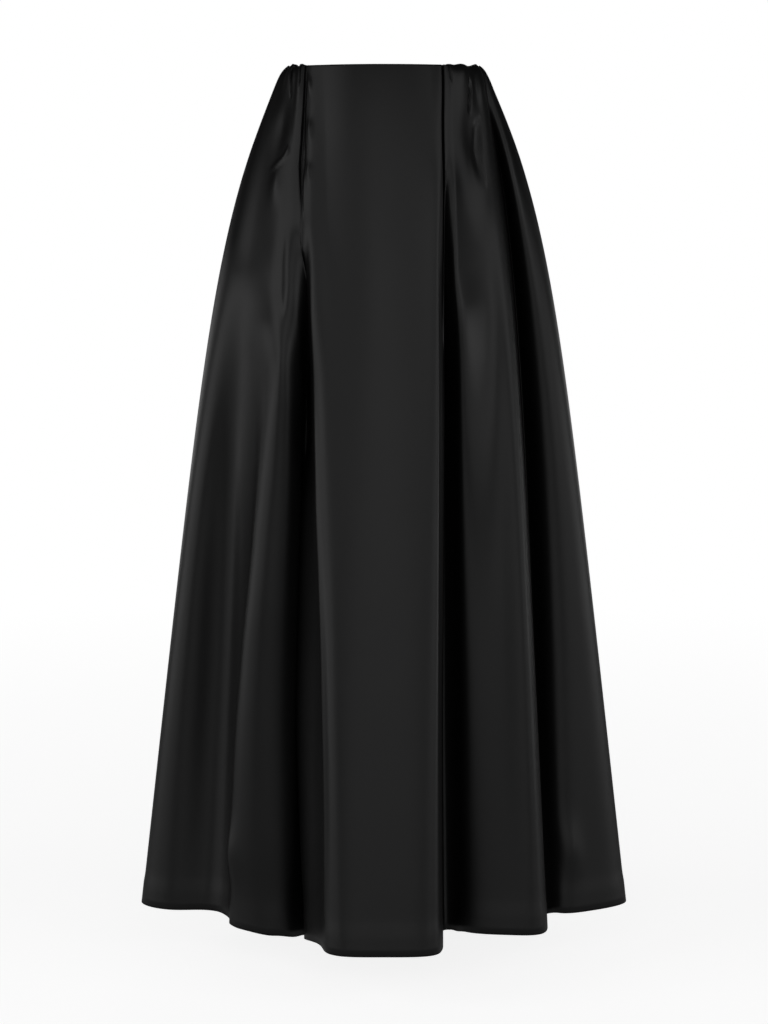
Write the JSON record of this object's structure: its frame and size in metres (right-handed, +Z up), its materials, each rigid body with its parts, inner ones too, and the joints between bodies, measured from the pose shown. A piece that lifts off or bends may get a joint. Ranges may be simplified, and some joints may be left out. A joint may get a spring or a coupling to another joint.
{
  "type": "maxi skirt",
  "caption": "Full-length flared skirt in black satin, hollow as when worn, with a flat front panel, gathers beside it, deep folds down to the hem and a concealed back zip.",
  "frame": {"origin": "centre of the waist, 10 mm below the waist edge, where the wearer's waist holds the skirt up", "axes": "+Z up along the wearer, the front faces -Y, and as seen from the front +X is to the right"},
  "size_m": [0.612, 0.4576, 1.0602],
  "materials": {
    "satin": "heavy black satin with a soft gloss",
    "zip_tape": "matt woven tape",
    "zip_metal": "black lacquered metal"
  },
  "bodies": {
    "skirt": {"front_centre": "satin", "front_left": "satin", "front_right": "satin", "back_left": "satin", "back_right": "satin", "zip_tape_left": "zip_tape", "zip_tape_right": "zip_tape", "zip_slider": "zip_metal"},
    "zip_pull": {"zip_pull": "zip_metal"}
  },
  "joints": [
    {"name": "zip_pull_swing", "type": "hinge", "parent": "skirt", "child": "zip_pull", "pos_m": [0, 0.09456, -0.0034], "axis": [1, 0, 0], "range_deg": [0, 165]}
  ]
}
